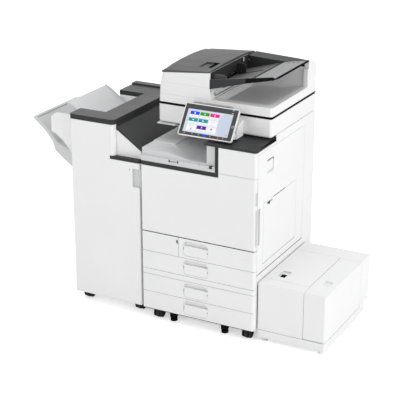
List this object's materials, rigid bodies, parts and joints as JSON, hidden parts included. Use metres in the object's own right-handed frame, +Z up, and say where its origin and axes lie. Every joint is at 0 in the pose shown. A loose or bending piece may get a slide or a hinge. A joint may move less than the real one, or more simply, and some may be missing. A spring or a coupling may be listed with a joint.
{
  "type": "office photocopier",
  "caption": "Floor-standing A3 office photocopier with document feeder, tilting touch panel, paper drawers, side paper unit and a stacking finisher on casters.",
  "frame": {"origin": "centre of the outer box, on the floor", "axes": "+X to the right seen from the front, +Y to the back, +Z up"},
  "size_m": [1.57, 0.665, 1.2166],
  "materials": {
    "white_cover": "fine moulded grain, satin",
    "dark_trim": "fine moulded grain, satin charcoal",
    "light_inner": "smooth moulded, satin",
    "frame_sheet": "zinc-coated sheet",
    "clear_glass": "polished",
    "panel_glass": "polished black front",
    "white_pad": "smooth white sheet on foam",
    "soft_roll": "ground rubber",
    "caster_tread": "moulded, matt",
    "caster_steel": "pressed and plated",
    "toner_plastic": "blow-moulded",
    "black_plastic": "moulded, matt"
  },
  "bodies": {
    "base": {"main_frame": "frame_sheet", "bank_frame": "frame_sheet", "left_cover": "white_cover", "rear_cover": "white_cover", "right_covers": "white_cover", "front_panels": "white_cover", "exit_trim": "dark_trim", "inner_tray": "light_inner", "power_inlet": "black_plastic", "engine_cover": "light_inner", "toner_bottles": "toner_plastic", "scanner_body": "white_cover", "platen_glass": "clear_glass", "panel_arm": "white_cover", "leveling_feet": "black_plastic", "docking_brackets": "frame_sheet", "finisher_housing": "white_cover", "finisher_top_cover": "dark_trim", "bridge_cover": "dark_trim", "finisher_upper_tray": "light_inner", "side_unit_housing": "white_cover", "rear_caster_forks": "caster_steel"},
    "drawer_1": {"drawer_1_front": "white_cover", "drawer_1_tray": "light_inner"},
    "drawer_2": {"drawer_2_front": "white_cover", "drawer_2_tray": "light_inner"},
    "drawer_3": {"drawer_3_front": "white_cover", "drawer_3_tray": "light_inner"},
    "drawer_4": {"drawer_4_front": "white_cover", "drawer_4_tray": "light_inner"},
    "front_door_body": {"front_door": "white_cover"},
    "power_switch_body": {"power_switch": "white_cover"},
    "right_door_body": {"right_door": "white_cover"},
    "right_latch": {"right_door_latch": "dark_trim"},
    "bypass": {"bypass_tray": "white_cover"},
    "feeder": {"feeder_body": "white_cover", "pressure_plate": "white_pad"},
    "feed_roller_body": {"feed_roller": "soft_roll"},
    "feeder_cover_body": {"feeder_cover": "dark_trim"},
    "input_tray_body": {"input_tray": "dark_trim"},
    "front_fence_body": {"front_fence": "dark_trim"},
    "rear_fence_body": {"rear_fence": "dark_trim"},
    "panel": {"panel_shell": "white_cover", "panel_screen": "panel_glass"},
    "carriage": {"scan_carriage": "frame_sheet"},
    "finisher_door_body": {"finisher_door": "white_cover"},
    "lift_tray_body": {"lift_tray": "light_inner"},
    "side_lid": {"side_unit_lid": "white_cover"},
    "side_cover": {"side_unit_cover": "white_cover"},
    "side_lift": {"side_unit_lift_plate": "frame_sheet"},
    "main_left_caster": {"main_left_fork": "caster_steel"},
    "main_left_wheel_body": {"main_left_wheel": "caster_tread"},
    "main_right_caster": {"main_right_fork": "caster_steel"},
    "main_right_wheel_body": {"main_right_wheel": "caster_tread"},
    "finisher_left_caster": {"finisher_left_fork": "caster_steel"},
    "finisher_left_wheel_body": {"finisher_left_wheel": "caster_tread"},
    "finisher_right_caster": {"finisher_right_fork": "caster_steel"},
    "finisher_right_wheel_body": {"finisher_right_wheel": "caster_tread"},
    "main_rear": {"main_rear_wheels": "caster_tread"},
    "finisher_rear": {"finisher_rear_wheels": "caster_tread"}
  },
  "joints": [
    {"name": "drawer_1_slide", "type": "slide", "parent": "base", "child": "drawer_1", "axis": [0, -1, 0], "range_m": [0, 0.38]},
    {"name": "drawer_2_slide", "type": "slide", "parent": "base", "child": "drawer_2", "axis": [0, -1, 0], "range_m": [0, 0.38]},
    {"name": "drawer_3_slide", "type": "slide", "parent": "base", "child": "drawer_3", "axis": [0, -1, 0], "range_m": [0, 0.38]},
    {"name": "drawer_4_slide", "type": "slide", "parent": "base", "child": "drawer_4", "axis": [0, -1, 0], "range_m": [0, 0.38]},
    {"name": "front_door_hinge", "type": "hinge", "parent": "base", "child": "front_door_body", "pos_m": [0.1525, -0.3255, 0.45875], "axis": [1, 0, 0], "range_deg": [0, 90]},
    {"name": "power_switch_press", "type": "slide", "parent": "base", "child": "power_switch_body", "axis": [0, 1, 0], "range_m": [0, 0.002], "stiffness_N_per_m": 500},
    {"name": "right_door_hinge", "type": "hinge", "parent": "base", "child": "right_door_body", "pos_m": [0.438, -0.0525, 0.335], "axis": [0, 1, 0], "range_deg": [0, 40]},
    {"name": "right_latch_hinge", "type": "hinge", "parent": "right_door_body", "child": "right_latch", "pos_m": [0.4415, -0.1835, 0.843], "axis": [0, -1, 0], "range_deg": [0, 20]},
    {"name": "bypass_hinge", "type": "hinge", "parent": "right_door_body", "child": "bypass", "pos_m": [0.439, -0.0675, 0.371], "axis": [0, 1, 0], "range_deg": [0, 62]},
    {"name": "feeder_hinge", "type": "hinge", "parent": "base", "child": "feeder", "pos_m": [0.1525, 0.3255, 1.032], "axis": [-1, 0, 0], "range_deg": [0, 75]},
    {"name": "feed_roller_spin", "type": "hinge", "parent": "feeder", "child": "feed_roller_body", "pos_m": [0.092, 0.0675, 1.135], "axis": [0, 1, 0], "continuous": true},
    {"name": "feeder_cover_hinge", "type": "hinge", "parent": "feeder", "child": "feeder_cover_body", "pos_m": [-0.104, 0.0215, 1.18589], "axis": [0, -1, 0], "range_deg": [0, 75]},
    {"name": "input_tray_hinge", "type": "hinge", "parent": "feeder", "child": "input_tray_body", "pos_m": [0.145, 0.2675, 1.1843], "axis": [0, -1, 0], "range_deg": [0, 25]},
    {"name": "front_fence_slide", "type": "slide", "parent": "input_tray_body", "child": "front_fence_body", "axis": [0, 1, 0], "range_m": [-0.02, 0.1]},
    {"name": "rear_fence_slide", "type": "slide", "parent": "input_tray_body", "child": "rear_fence_body", "axis": [0, 1, 0], "range_m": [-0.1, 0.02]},
    {"name": "panel_tilt", "type": "hinge", "parent": "base", "child": "panel", "pos_m": [0.259, -0.2685, 0.957], "axis": [1, 0, 0], "range_deg": [-15, 12]},
    {"name": "scan_carriage_slide", "type": "slide", "parent": "base", "child": "carriage", "axis": [1, 0, 0], "range_m": [0, 0.38]},
    {"name": "finisher_door_hinge", "type": "hinge", "parent": "base", "child": "finisher_door_body", "pos_m": [-0.516, -0.3165, 0.4], "axis": [0, 0, -1], "range_deg": [0, 100]},
    {"name": "lift_tray_slide", "type": "slide", "parent": "base", "child": "lift_tray_body", "axis": [0, 0, -1], "range_m": [0, 0.45]},
    {"name": "side_lid_hinge", "type": "hinge", "parent": "base", "child": "side_lid", "pos_m": [0.67125, -0.0525, 0.289], "axis": [0, -1, 0], "range_deg": [-80, 0]},
    {"name": "side_cover_hinge", "type": "hinge", "parent": "base", "child": "side_cover", "pos_m": [0.779, -0.0825, 0.068], "axis": [0, 1, 0], "range_deg": [0, 50]},
    {"name": "side_lift_slide", "type": "slide", "parent": "base", "child": "side_lift", "axis": [0, 0, 1], "range_m": [0, 0.15]},
    {"name": "main_left_swivel", "type": "hinge", "parent": "base", "child": "main_left_caster", "pos_m": [-0.072, -0.3045, 0.05], "axis": [0, 0, 1], "continuous": true},
    {"name": "main_left_roll", "type": "hinge", "parent": "main_left_caster", "child": "main_left_wheel_body", "pos_m": [-0.072, -0.2905, 0.025], "axis": [1, 0, 0], "continuous": true},
    {"name": "main_right_swivel", "type": "hinge", "parent": "base", "child": "main_right_caster", "pos_m": [0.397, -0.3045, 0.05], "axis": [0, 0, 1], "continuous": true},
    {"name": "main_right_roll", "type": "hinge", "parent": "main_right_caster", "child": "main_right_wheel_body", "pos_m": [0.397, -0.2905, 0.025], "axis": [1, 0, 0], "continuous": true},
    {"name": "finisher_left_swivel", "type": "hinge", "parent": "base", "child": "finisher_left_caster", "pos_m": [-0.491, -0.2675, 0.05], "axis": [0, 0, 1], "continuous": true},
    {"name": "finisher_left_roll", "type": "hinge", "parent": "finisher_left_caster", "child": "finisher_left_wheel_body", "pos_m": [-0.491, -0.2535, 0.025], "axis": [1, 0, 0], "continuous": true},
    {"name": "finisher_right_swivel", "type": "hinge", "parent": "base", "child": "finisher_right_caster", "pos_m": [-0.198, -0.2675, 0.05], "axis": [0, 0, 1], "continuous": true},
    {"name": "finisher_right_roll", "type": "hinge", "parent": "finisher_right_caster", "child": "finisher_right_wheel_body", "pos_m": [-0.198, -0.2535, 0.025], "axis": [1, 0, 0], "continuous": true},
    {"name": "main_rear_roll", "type": "hinge", "parent": "base", "child": "main_rear", "pos_m": [-0.072, 0.2675, 0.025], "axis": [1, 0, 0], "continuous": true},
    {"name": "finisher_rear_roll", "type": "hinge", "parent": "base", "child": "finisher_rear", "pos_m": [-0.198, 0.2275, 0.025], "axis": [1, 0, 0], "continuous": true}
  ],
  "couplings": [
    {"joint": "rear_fence_slide", "follows": "front_fence_slide", "ratio": -1}
  ]
}
